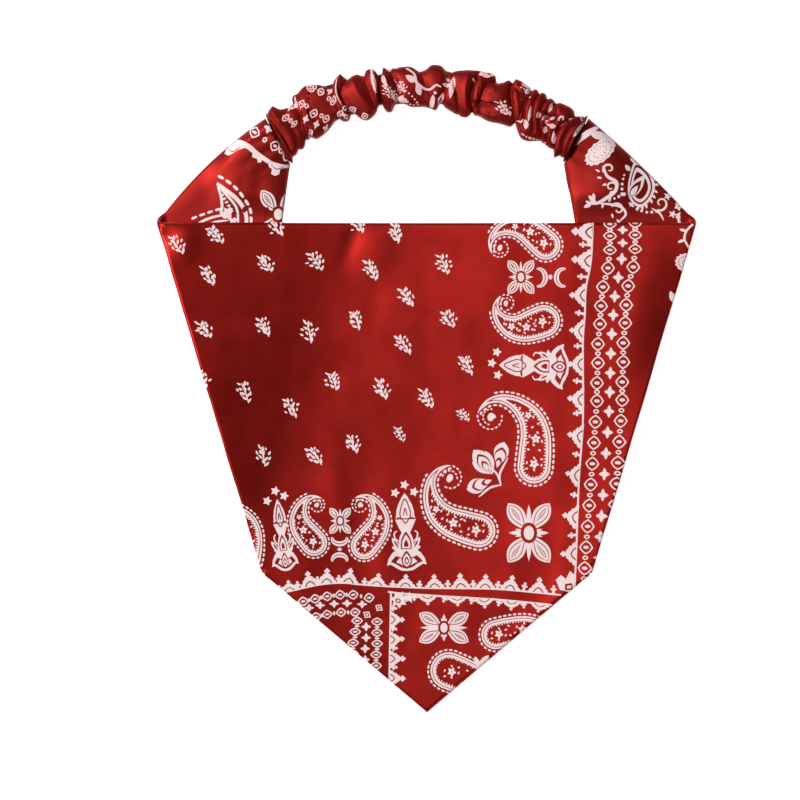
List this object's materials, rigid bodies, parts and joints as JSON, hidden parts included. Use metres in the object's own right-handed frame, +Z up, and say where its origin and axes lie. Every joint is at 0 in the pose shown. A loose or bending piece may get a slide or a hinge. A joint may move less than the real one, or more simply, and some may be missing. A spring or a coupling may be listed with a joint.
{
  "type": "elastic headscarf",
  "caption": "Triangular bandana-style headscarf laid flat, its side corners folded behind and joined over the top by a gathered elastic band.",
  "frame": {"origin": "on the surface that it lies on, under the middle of the headscarf's box", "axes": "+Z up off the surface; +Y in the cloth's plane from the kerchief's tip towards the band; +X to the right seen from above"},
  "size_m": [0.2506, 0.3001, 0.0131],
  "materials": {
    "kerchief_cloth": "fine soft satin weave, red with a pinkish white bandana print",
    "band_cloth": "fine soft satin weave, red with a pinkish white bandana print, gathered",
    "elastic": "flat woven elastic"
  },
  "bodies": {
    "root": {"kerchief_front": "kerchief_cloth", "kerchief_back": "kerchief_cloth", "band_casing": "band_cloth", "band_elastic": "elastic"}
  },
  "joints": []
}
